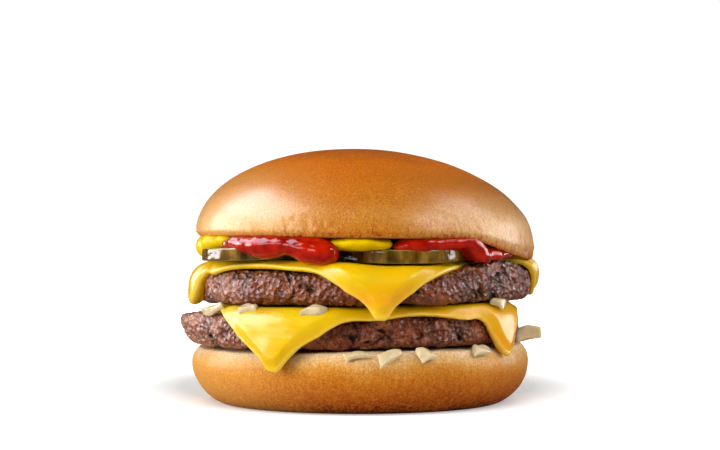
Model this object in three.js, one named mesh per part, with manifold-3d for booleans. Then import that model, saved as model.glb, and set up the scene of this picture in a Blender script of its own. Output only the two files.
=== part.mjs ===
// Double cheeseburger: a soft round bun, two beef patties, two melted cheese slices,
// three pickle slices, a ketchup layer, four blobs of mustard and scattered onion.
// Millimetres, +Z up, front towards -Y, origin at the middle of the bottom bun's flat
// underside. Azimuths are in degrees from the front, growing towards +X.

import * as THREE from "three";
import Module from "manifold-3d";
import { mergeVertices } from "three/addons/utils/BufferGeometryUtils.js";
import { ImprovedNoise } from "three/addons/math/ImprovedNoise.js";

const wasm = await Module();
wasm.setup();

// ---- driving dimensions ----

const GAP = 0.3;
const BUN_RADIUS = 47.7;
const FOOT_RADIUS = 37.6;
const HEEL_HEIGHT = 17.3;
const HEEL_BELLY = 11.6;
const LIP_HEIGHT = 16.5;
const LIP_INSET = 2.1;
const CROWN_BASE = 46.15;
const CROWN_RISE = 25.65;
const CROWN_SHIFT = 1.28;
const CROWN_LEAN = -0.136;
const CROWN_HANG = 6.2;
const LOWER_SLICE_THICK = 1.4;
const UPPER_SLICE_THICK = 1.6;
const FLAP_THICKENING = 0.8;
const SLICE_LIFT = 0.56;
const RIM_DROOP = 0.8;
const STACK_SLOPE = 0.0133;

const LOWER_PATTY = {
  centre: [-2.2, 1.2],
  radius: 47.9,
  low: HEEL_HEIGHT + GAP,
  thick: 9.2,
  lobes: [[3, 0.7, -1.3], [5, 0.45, 3.6], [8, 0.35, 4.4]],
  swells: [{ azimuth: -66, spread: 26, rise: 0.8, power: 9 }],
  overhangs: [{ azimuth: -76, spread: 21, reach: 2.4 }],
};
const UPPER_PATTY = {
  centre: [1.7, -0.8],
  radius: 46.3,
  low: LOWER_PATTY.low + LOWER_PATTY.thick + SLICE_LIFT + LOWER_SLICE_THICK + GAP,
  thick: 9.9,
  lobes: [[2, 0.4, 1.2], [5, 0.5, 0.3], [9, 0.35, 2.6]],
  swells: [
    { azimuth: 64, spread: 16, rise: 0.55, power: 2 },
    { azimuth: 14, spread: 26, rise: -1.9, power: 2 },
  ],
  overhangs: [],
};
const PATTY_SEGMENTS = 72;
const SIDE_FULLNESS = 0.82;
const CRAG_DEPTH = 1.6;

// A slice is a rounded square: half is half its side, turn the azimuth of its first corner
const LOWER_SLICE = {
  patty: LOWER_PATTY,
  half: 40.4,
  turn: -29,
  offset: [1.5, -5.5],
  thick: LOWER_SLICE_THICK,
  drips: [4.4, 2.2, 1.6, 1.2],
  lean: 0,
  leanRight: 0,
};
const UPPER_SLICE = {
  patty: UPPER_PATTY,
  half: 41.3,
  turn: 5,
  offset: [-0.9, -0.9],
  thick: UPPER_SLICE_THICK,
  drips: [3.8, -0.2, 1.2, -0.4],
  lean: 0.14,
  leanRight: 0.18,
};
const CORNER_POWER = 7;
const DRIP_SPREAD = 5.5;
const CORNER_CROWDING = 0.5;
const SLICE_SEGMENTS = 60;
const SLICE_RINGS = 6;
const EDGE_BEAD = 0.5;
const BEND_CLEARANCE = 0.16;

const PICKLE_RADIUS = 17.3;
const PICKLES = [
  { name: "pickle_right", x: 11.3, y: -27.5, thick: 3.5, forwardTilt: 3.0, raised: -0.2 },
  { name: "pickle_left", x: -25.8, y: -18, thick: 3.6, forwardTilt: 0.5, raised: 0.1 },
  { name: "pickle_back", x: 4, y: 27, thick: 3.5, forwardTilt: -1, raised: 0.2 },
];

const KETCHUP_RADIUS = 37;
const KETCHUP_LOBES = [
  { from: -54, to: -19, reach: 48.6, low: 42.0, high: 47.6 },
  { from: -20, to: -5, reach: 48.2, low: 39.6, high: 47.0 },
  { from: 11, to: 44, reach: 47.6, low: 40.0, high: 47.0 },
  { from: 43, to: 64, reach: 46.4, low: 40.6, high: 46.0 },
  { from: 100, to: 150, reach: 46.2, low: 41.2, high: 45.4 },
  { from: 200, to: 250, reach: 46.8, low: 40.8, high: 45.6 },
];

const MUSTARD = [
  { name: "mustard_left", azimuth: -76, radius: 43.2, height: 45.0, size: [4.9, 11, 4.2] },
  { name: "mustard_front", azimuth: 0.5, radius: 37.8, height: 44.8, size: [8.4, 9.5, 2.4] },
  { name: "mustard_right", azimuth: 76, radius: 43.5, height: 41.6, size: [5, 8.5, 2.2] },
  { name: "mustard_back", azimuth: 172, radius: 42, height: 44.4, size: [6.4, 11, 2.6] },
];

// Onion: place, then length round the rim, width, thickness, turn in its plane, outward tip
const ONION_ON_CHEESE = [
  { azimuth: -56, radius: 47.4, height: 28.7, size: [2.4, 7, 1.8], turn: -30, tip: 24 },
  { azimuth: -39, radius: 46.6, height: 29.0, size: [5.2, 3.6, 2.2], turn: 6, tip: 14 },
  { azimuth: -15, radius: 46.7, height: 28.6, size: [5.4, 3.8, 2.1], turn: -8, tip: 20 },
  { azimuth: 53, radius: 46.9, height: 29.5, size: [4.8, 3.6, 2.0], turn: 10, tip: 12 },
  { azimuth: 118, radius: 46.6, height: 29.2, size: [5.6, 3.4, 2.0], turn: 16, tip: 16 },
  { azimuth: 168, radius: 45.8, height: 29.0, size: [4.6, 3.6, 2.1], turn: -14, tip: 14 },
  { azimuth: 222, radius: 46.2, height: 28.9, size: [5.8, 3.4, 1.9], turn: 8, tip: 18 },
];
const ONION_ON_BUN = [
  { azimuth: -1, radius: 47.0, height: 17.0, size: [6.8, 2.6, 1.1], turn: 2, tip: 30 },
  { azimuth: 9.5, radius: 47.7, height: 16.6, size: [6.8, 3.9, 1.2], turn: 20, tip: 46 },
  { azimuth: 21, radius: 47.6, height: 16.7, size: [4.3, 4.2, 1.5], turn: -4, tip: 46 },
  { azimuth: 43, radius: 47.3, height: 17.0, size: [5.6, 3.9, 1.4], turn: -16, tip: 44 },
  { azimuth: 88, radius: 47.6, height: 20.1, size: [4.0, 6.0, 1.3], turn: 12, tip: 20 },
  { azimuth: 126, radius: 47.2, height: 16.8, size: [6.2, 4.0, 1.2], turn: -10, tip: 46 },
  { azimuth: 151, radius: 47.4, height: 16.6, size: [4.6, 4.6, 1.3], turn: 14, tip: 48 },
  { azimuth: 189, radius: 47.2, height: 16.8, size: [6.4, 4.0, 1.2], turn: -6, tip: 46 },
  { azimuth: 214, radius: 47.5, height: 16.5, size: [4.8, 4.4, 1.3], turn: 10, tip: 50 },
  { azimuth: 240, radius: 47.4, height: 16.6, size: [5.4, 4.2, 1.2], turn: -14, tip: 48 },
];

const COLOURS = {
  crown: 0xd08a3c,
  heel: 0xdd9a4e,
  beef: 0x6b3a24,
  cheese: 0xf7b414,
  pickle: 0x5c6320,
  ketchup: 0xb41408,
  mustard: 0xf2d410,
  onion: 0xe6dfb8,
};

// ---- small tools ----

const radians = THREE.MathUtils.degToRad;
const degrees = THREE.MathUtils.radToDeg;
const noise = new ImprovedNoise();

function smooth(value, from, to) {
  return THREE.MathUtils.smoothstep(value, from, to);
}

// Bell of height 1 at an azimuth difference of 0, both in degrees
function bell(difference, spread) {
  const wrapped = ((difference % 360) + 540) % 360 - 180;
  return Math.exp(-((wrapped / spread) ** 2));
}

function polar(radius, azimuth, height) {
  const turn = radians(azimuth);
  return new THREE.Vector3(radius * Math.sin(turn), -radius * Math.cos(turn), height);
}

function azimuthOf(x, y) {
  return Math.hypot(x, y) > 1e-6 ? degrees(Math.atan2(x, -y)) : 0;
}

// All layers sink towards the stack's rim and rise a little from left to right
function settle(point) {
  const share = Math.hypot(point.x, point.y) / BUN_RADIUS;
  point.z += STACK_SLOPE * point.x - RIM_DROOP * share ** 4;
  return point;
}

// A closed turned body from [radius, height] pairs, from the axis up to the axis again
function turned(profile, segments) {
  const points = profile.map(([radius, height]) => new THREE.Vector2(radius, height));
  return new THREE.LatheGeometry(points, segments).rotateX(Math.PI / 2);
}

// Moves each vertex to the point that place gives for its radius, azimuth and height
function reshaped(geometry, place) {
  const spots = geometry.attributes.position;
  const spot = new THREE.Vector3();
  for (let i = 0; i < spots.count; i += 1) {
    spot.fromBufferAttribute(spots, i);
    const moved = place(Math.hypot(spot.x, spot.y), azimuthOf(spot.x, spot.y), spot.z);
    spots.setXYZ(i, ...moved);
  }
  return geometry;
}

function solid(geometry) {
  geometry.deleteAttribute("normal");
  geometry.deleteAttribute("uv");
  const merged = mergeVertices(geometry, 1e-4);
  const corners = merged.index.array;
  const kept = [];
  for (let i = 0; i < corners.length; i += 3) {
    const [a, b, c] = corners.subarray(i, i + 3);
    if (a !== b && b !== c && c !== a) kept.push(a, b, c);
  }
  return new wasm.Manifold(new wasm.Mesh({
    numProp: 3,
    vertProperties: new Float32Array(merged.attributes.position.array),
    triVerts: new Uint32Array(kept),
  }));
}

// The largest connected piece, without the crumbs that a cut can leave
function largest(manifold) {
  const pieces = manifold.decompose();
  return pieces.reduce((best, piece) => (piece.volume() > best.volume() ? piece : best));
}

function node(name, manifold, colour, roughness) {
  const mesh = manifold.getMesh();
  const geometry = new THREE.BufferGeometry();
  geometry.setAttribute("position", new THREE.BufferAttribute(mesh.vertProperties, 3));
  geometry.setIndex(new THREE.BufferAttribute(mesh.triVerts, 1));
  const material = new THREE.MeshStandardMaterial({ color: colour, roughness, metalness: 0 });
  const made = new THREE.Mesh(geometry, material);
  made.name = name;
  return made;
}

// ---- bun ----

// The bottom bun flares from its foot to its belly, then draws in to the lip of its cut
function heelRadius(height) {
  const power = 1.75;
  if (height < HEEL_BELLY) {
    const share = (1 - (1 - height / HEEL_BELLY) ** power) ** (1 / power);
    return FOOT_RADIUS + (BUN_RADIUS - FOOT_RADIUS) * share;
  }
  return BUN_RADIUS - LIP_INSET * ((height - HEEL_BELLY) / (LIP_HEIGHT - HEEL_BELLY)) ** 2.2;
}

function bottomBun() {
  const rows = [[0, 0], [FOOT_RADIUS * 0.6, 0], [FOOT_RADIUS, 0]];
  const steps = 7;
  for (let i = 1; i <= steps; i += 1) {
    const height = HEEL_BELLY * (1 - Math.cos((Math.PI / 2) * (i / steps)));
    rows.push([heelRadius(height), height]);
  }
  for (const share of [0.5, 0.8, 1]) {
    const height = THREE.MathUtils.lerp(HEEL_BELLY, LIP_HEIGHT, share);
    rows.push([heelRadius(height), height]);
  }
  for (const radius of [43.6, 36, 22, 0]) {
    rows.push([radius, HEEL_HEIGHT - RIM_DROOP * (radius / BUN_RADIUS) ** 4]);
  }
  return solid(reshaped(turned(rows, 48), (radius, azimuth, height) => {
    const point = polar(radius, azimuth, height);
    point.z += STACK_SLOPE * point.x * smooth(height, HEEL_BELLY - 5, HEEL_HEIGHT);
    return point;
  }));
}

// How far the crown's rim hangs on the right and lifts on the left, against the flat cut
function rimDrop(x) {
  return CROWN_HANG * smooth(x, 26, 49) + 0.018 * Math.min(x, 0);
}

function crownUnderside(x, y) {
  return CROWN_BASE - rimDrop(x) * smooth(Math.hypot(x - CROWN_SHIFT, y), 38, BUN_RADIUS);
}

function topBun() {
  const rows = [[0, 0], [22, 0], [34, 0], [41, 0], [44.5, 0], [BUN_RADIUS - 1.1, 0.1]];
  for (const rise of [2.6, 7, 14, 23, 33, 44, 56, 70]) {
    const angle = radians(rise);
    rows.push([BUN_RADIUS * Math.cos(angle), CROWN_RISE * Math.sin(angle)]);
  }
  rows.push([0, CROWN_RISE]);
  return solid(reshaped(turned(rows, 48), (radius, azimuth, height) => {
    const point = polar(radius, azimuth, height);
    const nearRim = Math.max(0, 1 - height / 7) ** 2;
    const swollen = 0.8 * (1 - smooth(height, 0, 12)) * smooth(point.x, 10, 46);
    point.x += CROWN_SHIFT + swollen;
    point.z += CROWN_BASE - rimDrop(point.x) * nearRim * smooth(radius, 38, BUN_RADIUS);
    point.x += CROWN_LEAN * height;
    return point;
  }));
}

// ---- patties ----

function pattyEdge(patty, azimuth) {
  let radius = patty.radius;
  for (const [count, depth, phase] of patty.lobes) {
    radius += depth * Math.sin(count * radians(azimuth) + phase);
  }
  return radius;
}

function pattyTop(patty, azimuth, radius) {
  const share = Math.min(radius / (patty.radius - patty.thick / 2), 1);
  let height = patty.low + patty.thick;
  for (const { azimuth: middle, spread, rise, power } of patty.swells) {
    height += rise * share ** power * bell(azimuth - middle, spread);
  }
  return height;
}

// How far the upper half of the side leans out, and the lower half in, at its extremes
function pattyOverhang(patty, azimuth) {
  let reach = 0;
  for (const overhang of patty.overhangs) {
    reach += overhang.reach * bell(azimuth - overhang.azimuth, overhang.spread);
  }
  return reach;
}

// Share of a side's half height or depth: fuller than a circle's
function bulge(share) {
  return Math.sign(share) * Math.abs(share) ** SIDE_FULLNESS;
}

// Ground meat: a round-sided disc whose wall is pitted inwards with crags
function patty(spec) {
  const half = spec.thick / 2;
  const core = spec.radius - half;
  const rows = [[0, -half], [core * 0.7, -half]];
  const steps = 7;
  for (let i = 0; i <= steps; i += 1) {
    const angle = Math.PI * (i / steps - 0.5);
    rows.push([core + half * bulge(Math.cos(angle)), half * bulge(Math.sin(angle))]);
  }
  rows.push([core * 0.7, half], [0, half]);
  return solid(reshaped(turned(rows, PATTY_SEGMENTS), (radius, azimuth, height) => {
    const spot = polar(radius, azimuth, height + spec.low);
    const coarse = noise.noise(spot.x / 6.5, spot.y / 6.5, spot.z / 5);
    const fine = noise.noise(spot.x / 2.8, spot.y / 2.8, spot.z / 2.2);
    const crag = THREE.MathUtils.clamp(0.6 + 1.9 * coarse + 1.2 * fine, 0, CRAG_DEPTH);
    const pit = crag * smooth(radius, core - 1, core + 2);
    const raised = pattyTop(spec, azimuth, radius) - (spec.low + spec.thick);
    const lean = pattyOverhang(spec, azimuth) * (height / half) * smooth(radius, core * 0.7, core);
    const side = radius * (pattyEdge(spec, azimuth) / spec.radius) - pit + lean;
    const point = polar(side, azimuth, height);
    point.z += spec.low + half + raised * smooth(height, -half, half);
    point.x += spec.centre[0];
    point.y += spec.centre[1];
    return settle(point);
  }));
}

// ---- cheese ----

// Distance from the patty's axis to the edge of the flat slice, along an azimuth
function sliceReach(slice, azimuth) {
  const turn = radians(slice.turn + 45);
  let near = 0;
  let far = slice.half * 2;
  for (let i = 0; i < 24; i += 1) {
    const middle = (near + far) / 2;
    const spot = polar(middle, azimuth, 0);
    const across = spot.x - slice.offset[0];
    const along = spot.y - slice.offset[1];
    const u = Math.abs(across * Math.cos(turn) + along * Math.sin(turn)) / slice.half;
    const v = Math.abs(along * Math.cos(turn) - across * Math.sin(turn)) / slice.half;
    if (u ** CORNER_POWER + v ** CORNER_POWER < 1) near = middle;
    else far = middle;
  }
  let reach = near;
  slice.drips.forEach((length, corner) => {
    const tip = polar(slice.half * 1.28, slice.turn + 90 * corner, 0);
    const seen = azimuthOf(tip.x + slice.offset[0], tip.y + slice.offset[1]);
    reach += length * bell(azimuth - seen, DRIP_SPREAD);
  });
  return reach;
}

// A slice lies flat, bends over the patty's rim and hangs; run is the length along it
// from the patty's axis, and lift the distance from the patty's face
function drape(slice, azimuth, run, lift) {
  const carrier = slice.patty;
  const round = carrier.thick / 2;
  const edge = pattyEdge(carrier, azimuth);
  const flat = edge - round;
  if (run < flat) return [run, pattyTop(carrier, azimuth, run) + lift];
  const middle = carrier.low + round;
  const raised = pattyTop(carrier, azimuth, edge) - middle - round;
  const bend = Math.min((run - flat) / (round + GAP), Math.PI / 2);
  const fall = Math.max(0, run - flat - (round + GAP) * (Math.PI / 2));
  const swell = raised * smooth(bulge(Math.cos(bend)), -1, 1);
  const lean = slice.lean - slice.leanRight * Math.sin(radians(azimuth));
  const clear = round + lift + BEND_CLEARANCE * Math.sin(2 * bend);
  return [
    flat + clear * bulge(Math.sin(bend)) + lean * fall,
    middle + clear * bulge(Math.cos(bend)) + swell - fall,
  ];
}

// Length along the slice to one of its rings: the bend's rings stay on the bend
function sliceRun(slice, azimuth, ring) {
  const reach = sliceReach(slice, azimuth);
  if (ring >= SLICE_RINGS) return reach + EDGE_BEAD * (ring - SLICE_RINGS);
  const flat = pattyEdge(slice.patty, azimuth) - slice.patty.thick / 2;
  const bend = (slice.patty.thick / 2 + GAP) * (Math.PI / 2);
  const stops = [0, flat * 0.7, flat, flat + bend / 3, flat + (bend * 2) / 3, flat + bend];
  return stops[ring] * Math.min(1, (reach - 0.6) / (flat + bend));
}

function cheeseSlice(slice) {
  const rows = [];
  for (let ring = 0; ring <= SLICE_RINGS; ring += 1) rows.push([ring, 0]);
  rows.push([SLICE_RINGS + 1, 0.5]);
  for (let ring = SLICE_RINGS; ring >= 0; ring -= 1) rows.push([ring, 1]);
  return solid(reshaped(turned(rows, SLICE_SEGMENTS), (ring, evenAzimuth, face) => {
    const crowding = CORNER_CROWDING * Math.sin(4 * radians(evenAzimuth - slice.turn));
    const azimuth = evenAzimuth - degrees(crowding) / 4;
    const run = sliceRun(slice, azimuth, Math.round(ring));
    const flat = slice.patty.radius - slice.patty.thick / 2;
    const thick = slice.thick + FLAP_THICKENING * smooth(run, flat - 2, flat + 7);
    const [radius, height] = drape(slice, azimuth, run, SLICE_LIFT + face * thick);
    const point = polar(radius, azimuth, height);
    point.x += slice.patty.centre[0];
    point.y += slice.patty.centre[1];
    settle(point);
    const outside = heelRadius(Math.min(point.z, LIP_HEIGHT)) + GAP + face * thick;
    const push = outside - Math.hypot(point.x, point.y) - 1.1 * Math.max(0, point.z - LIP_HEIGHT);
    return point.z > 20 || push < 0 ? point : point.add(polar(push, azimuth, 0));
  }));
}

// Height of the upper slice's upper face, with its bend, at a place
function upperSliceTop(x, y) {
  const [middleX, middleY] = UPPER_PATTY.centre;
  const radius = Math.hypot(x - middleX, y - middleY);
  const azimuth = azimuthOf(x - middleX, y - middleY);
  const round = UPPER_PATTY.thick / 2;
  const beyond = Math.max(0, radius - pattyEdge(UPPER_PATTY, azimuth) + round);
  const lift = SLICE_LIFT + UPPER_SLICE.thick + 0.5 * smooth(beyond, 0, 6);
  const bent = (round + lift) * bulge(Math.sqrt(Math.max(0, 1 - (beyond / (round + lift)) ** 2)));
  const top = pattyTop(UPPER_PATTY, azimuth, radius) - round + bent;
  return settle(new THREE.Vector3(x, y, top)).z;
}

// ---- pickles, sauces and onion ----

const FILLING_LOW = UPPER_PATTY.low + UPPER_PATTY.thick + SLICE_LIFT + UPPER_SLICE_THICK + GAP;

// Keeps a sauce's surface between the cheese below it and the crown above it
function squeezed(point) {
  const room = GAP + 0.1;
  const low = upperSliceTop(point.x, point.y) + room;
  const high = crownUnderside(point.x, point.y) - room;
  point.z = Math.min(Math.max(point.z, low), Math.max(high, low + 0.2));
  return point;
}

// grow widens the slice all round, and sink deepens it downwards for the pocket that it fills
function pickle(spec, grow = 0, sink = 0) {
  const radius = PICKLE_RADIUS + grow;
  const high = spec.thick + grow;
  const low = -grow - sink;
  const bevel = 0.5;
  const rows = [[0, low], [radius - bevel, low], [radius, low + bevel]];
  rows.push([radius, high - bevel], [radius - bevel, high], [0, high]);
  const tilt = Math.tan(radians(spec.forwardTilt));
  return solid(reshaped(turned(rows, 28), (across, azimuth, height) => {
    const wave = 1 + 0.012 * Math.sin(radians(3 * azimuth) + spec.x);
    const point = polar(across * wave, azimuth, height);
    point.z += FILLING_LOW + spec.raised + tilt * point.y;
    point.x += spec.x;
    point.y += spec.y;
    return settle(point);
  }));
}

function mustard(spec, grow = 0) {
  const ball = new THREE.SphereGeometry(1, 16, 10).rotateX(Math.PI / 2);
  const centre = polar(spec.radius, spec.azimuth, spec.height);
  const [deep, wide, tall] = spec.size.map((size) => size + grow);
  return solid(reshaped(ball, (across, azimuth, height) => {
    const lumpy = 1 + 0.12 * noise.noise(azimuth / 50, height * 1.5, spec.azimuth);
    const point = polar(across * lumpy, azimuth, height * lumpy);
    point.set(point.x * wide, point.y * deep, point.z * tall);
    point.applyAxisAngle(new THREE.Vector3(0, 0, 1), radians(spec.azimuth));
    settle(point.add(centre));
    return grow > 0 ? point : squeezed(point);
  }));
}

// The lobes that a spread of ketchup squeezes out between the pickles, blended at their ends
function ketchupRim(azimuth) {
  const rim = { reach: KETCHUP_RADIUS, low: FILLING_LOW, high: CROWN_BASE };
  for (const lobe of KETCHUP_LOBES) {
    const middle = (lobe.from + lobe.to) / 2;
    const half = (lobe.to - lobe.from) / 2;
    const away = Math.abs(((azimuth - middle) % 360 + 540) % 360 - 180);
    const share = 1 - smooth(away, half - 5, half + 2);
    for (const side of ["reach", "low", "high"]) {
      rim[side] += share * (lobe[side] - rim[side]);
    }
  }
  return rim;
}

function ketchupSpread() {
  const rows = [[0, -1], [0.6, -1], [0.86, -1], [0.96, -0.7]];
  rows.push([1, 0], [0.96, 0.7], [0.86, 1], [0.6, 1], [0, 1]);
  return solid(reshaped(turned(rows, 72), (share, azimuth, face) => {
    const rim = ketchupRim(azimuth);
    const outer = smooth(share, 0.7, 0.95);
    const low = THREE.MathUtils.lerp(FILLING_LOW, rim.low, outer);
    const high = THREE.MathUtils.lerp(CROWN_BASE, rim.high, outer);
    const point = polar(share * rim.reach, azimuth, THREE.MathUtils.lerp(low, high, (face + 1) / 2));
    return squeezed(settle(point));
  }));
}

// A bowed, tapered sliver of chopped onion, tipped outwards over what it lies on
function onion(spec) {
  const [length, width, thick] = spec.size;
  const sliver = new THREE.BoxGeometry(length, width, thick, 2, 1, 1);
  const spots = sliver.attributes.position;
  for (let i = 0; i < spots.count; i += 1) {
    const along = spots.getX(i) / length;
    const taper = 1 - 0.5 * Math.max(0, along);
    spots.setY(i, spots.getY(i) * taper + 0.5 * along);
    spots.setZ(i, spots.getZ(i) * taper - 1.6 * along * along);
  }
  sliver.rotateZ(radians(spec.turn));
  sliver.rotateX(radians(spec.tip));
  sliver.rotateZ(radians(spec.azimuth));
  sliver.translate(...settle(polar(spec.radius, spec.azimuth, spec.height)));
  return solid(sliver);
}

// A piece together with copies of it a gap away all round
function withGap(manifold) {
  let room = manifold;
  for (const [x, y, z] of [[1, 0, 0], [-1, 0, 0], [0, 1, 0], [0, -1, 0], [0, 0, 1], [0, 0, -1]]) {
    room = room.add(manifold.translate([x * GAP, y * GAP, z * GAP]));
  }
  return room;
}

// ---- assembly ----

const burger = new THREE.Group();

function place(name, manifold, colour, roughness) {
  burger.add(node(name, manifold, colour, roughness));
  return manifold;
}

const heel = place("bun_bottom", bottomBun(), COLOURS.heel, 0.6);
const lowerPatty = place("patty_lower", patty(LOWER_PATTY), COLOURS.beef, 0.5);
const lowerSlice = place("cheese_lower", cheeseSlice(LOWER_SLICE), COLOURS.cheese, 0.3);
const upperPatty = place("patty_upper", patty(UPPER_PATTY), COLOURS.beef, 0.5);
place("cheese_upper", cheeseSlice(UPPER_SLICE), COLOURS.cheese, 0.3);
const crown = place("bun_top", topBun(), COLOURS.crown, 0.4);
const crownRoom = crown.add(crown.translate([0, 0, -GAP]));

let ketchup = ketchupSpread().subtract(crownRoom);
for (const spec of PICKLES) {
  place(spec.name, pickle(spec), COLOURS.pickle, 0.3);
  ketchup = ketchup.subtract(pickle(spec, GAP, 2));
}
for (const spec of MUSTARD) {
  let blob = mustard(spec).subtract(crownRoom);
  for (const slice of PICKLES) blob = blob.subtract(pickle(slice, GAP));
  place(spec.name, largest(blob), COLOURS.mustard, 0.3);
  ketchup = ketchup.subtract(mustard(spec, GAP));
}
place("ketchup", largest(ketchup), COLOURS.ketchup, 0.2);

const onionRoom = [heel, lowerPatty, lowerSlice, upperPatty].map(withGap);
[...ONION_ON_CHEESE, ...ONION_ON_BUN].forEach((spec, index) => {
  const piece = onionRoom.reduce((rest, room) => rest.subtract(room), onion(spec));
  place(`onion_${String(index + 1).padStart(2, "0")}`, largest(piece), COLOURS.onion, 0.35);
});

export default burger;
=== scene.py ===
"""A double cheeseburger on white paper, lit by softboxes.

Metres, +Z up, front towards -Y, origin at the middle of the bottom bun's underside.
Azimuths are in degrees from the front, growing towards +X.
"""

import functools
import math

import bpy
from mathutils import Matrix, Vector, noise


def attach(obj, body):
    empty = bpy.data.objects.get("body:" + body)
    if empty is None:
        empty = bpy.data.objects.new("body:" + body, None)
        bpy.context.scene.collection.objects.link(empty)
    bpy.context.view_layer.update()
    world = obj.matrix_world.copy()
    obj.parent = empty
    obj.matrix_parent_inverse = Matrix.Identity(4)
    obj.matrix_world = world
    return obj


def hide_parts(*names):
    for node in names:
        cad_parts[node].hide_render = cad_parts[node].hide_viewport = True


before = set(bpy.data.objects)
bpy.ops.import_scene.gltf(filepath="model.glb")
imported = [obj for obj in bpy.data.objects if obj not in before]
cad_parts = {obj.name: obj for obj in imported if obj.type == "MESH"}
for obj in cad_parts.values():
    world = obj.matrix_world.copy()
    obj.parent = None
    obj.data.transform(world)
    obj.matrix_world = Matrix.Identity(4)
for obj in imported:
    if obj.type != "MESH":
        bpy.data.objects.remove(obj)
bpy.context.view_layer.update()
noise.seed_set(7)

# ---- driving dimensions ----

GAP = 0.0003
BUN_RADIUS = 0.0477
FOOT_RADIUS = 0.0376
HEEL_HEIGHT = 0.0173
HEEL_BELLY = 0.0116
LIP_HEIGHT = 0.0165
LIP_INSET = 0.0021
HEEL_FLARE = 1.75
LIP_CURVE = 2.2
CROWN_BASE = 0.04615
CROWN_RISE = 0.02565
CROWN_SHIFT = 0.00128
CROWN_LEAN = -0.136
CROWN_HANG = 0.0062
CROWN_HANG_START = 0.026
CROWN_HANG_END = 0.049
CROWN_LEFT_SLOPE = 0.018
CROWN_FILLET = 0.0013
CREASE_DEPTH = 0.0007
SLICE_LIFT = 0.00056
LOWER_SLICE_THICK = 0.0014
UPPER_SLICE_THICK = 0.0016
FLAP_THICKENING = 0.0008
RIM_DROOP = 0.0008
STACK_SLOPE = 0.0133
SIDE_FULLNESS = 0.74

# Patties: lobes are (count round the edge, depth, phase). The rest start with an azimuth and a
# spread: swells (rise, power) lift the top, overhangs (reach) lean the side out and crusts
# (rise, outward) lift the rim and push it out
LOWER_PATTY = {
    "centre": (-0.0022, 0.0012),
    "radius": 0.0479,
    "low": HEEL_HEIGHT + GAP,
    "thick": 0.0092,
    "lobes": ((3, 0.0007, -1.3), (5, 0.00045, 3.6), (8, 0.00035, 4.4)),
    "swells": ((-66, 26, 0.0008, 9),),
    "overhangs": ((-76, 21, 0.0024),),
    "crusts": (),
}
UPPER_PATTY = {
    "centre": (0.0017, -0.0008),
    "radius": 0.0463,
    "low": LOWER_PATTY["low"] + LOWER_PATTY["thick"] + SLICE_LIFT + LOWER_SLICE_THICK + GAP,
    "thick": 0.0099,
    "lobes": ((2, 0.0004, 1.2), (5, 0.0005, 0.3), (9, 0.00035, 2.6)),
    "swells": ((64, 16, 0.00055, 2), (14, 26, -0.0019, 2)),
    "overhangs": (),
    "crusts": ((51, 17, 0.0024, 0), (82, 12, 0.0004, 0.0002), (-88, 17, 0, 0.0014)),
}
PATTY_SEGMENTS = 820
PATTY_SIDE_STEPS = 44

# Slices: edges reach further out, drops swell a flap's tip and folds its whole length. Each is
# an azimuth, a spread and a length
LOWER_SLICE = {
    "patty": LOWER_PATTY,
    "half": 0.0404,
    "turn": -29,
    "offset": (0.0015, -0.0055),
    "thick": LOWER_SLICE_THICK,
    "edges": ((-32, 16, 0.0015), (-22.5, 5, 0.0032), (-25, 1.7, 0.0013), (-22, 1.7, 0.0013),
              (-3, 8, -0.0013), (44, 5, -0.0026), (53.5, 4, 0.0042), (60, 4, 0.0010),
              (67, 5, -0.0018), (96, 17, -0.0045), (146, 5.5, 0.0036), (-112, 22, -0.0050)),
    "drops": ((-23.5, 5.5, 0.0011), (54, 5, 0.0009), (146, 5, 0.0010)),
    "fullness": 0.92,
    "lean": 0.15,
    "folds": (),
}
UPPER_SLICE = {
    "patty": UPPER_PATTY,
    "half": 0.0413,
    "turn": 5,
    "offset": (-0.0009, -0.0009),
    "thick": UPPER_SLICE_THICK,
    "edges": ((4.2, 5.3, 0.0034), (2.7, 1.7, 0.0014), (5.7, 1.7, 0.0014), (-18, 7, -0.0016),
              (53, 17, -0.0036), (71, 7, -0.0040), (85, 7, 0.0027), (98, 8, 0.0015),
              (-71, 5.5, -0.0030), (-80, 4, 0.0011), (-90, 5, 0.0012), (-99, 7, 0.0038),
              (-174, 5.5, 0.0034)),
    "drops": ((4.2, 3.6, 0.0013), (92, 14, -0.0008), (-174, 5, 0.0010)),
    "fullness": 0.80,
    "lean": 0.12,
    "folds": ((-86, 16, 0.0017),),
}
CORNER_POWER = 5.5
EDGE_BEAD = 0.0005
EDGE_THINNING = 0.5
MELTED_LIFT = 0.0001
CORNER_CROWDING = 0.5
SLICE_SEGMENTS = 420
SLICE_RINGS = 46

PICKLE_RADIUS = 0.0173
PICKLES = {
    "pickle_right": {"x": 0.0113, "y": -0.0275, "thick": 0.0037, "tilt": 3.0, "raised": -0.0005},
    "pickle_left": {"x": -0.0258, "y": -0.018, "thick": 0.0036, "tilt": 0.5, "raised": 0.0001},
    "pickle_back": {"x": 0.004, "y": 0.027, "thick": 0.0035, "tilt": -1.0, "raised": 0.0002},
}
FILLING_LOW = UPPER_PATTY["low"] + UPPER_PATTY["thick"] + SLICE_LIFT + UPPER_SLICE_THICK + GAP

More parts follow.
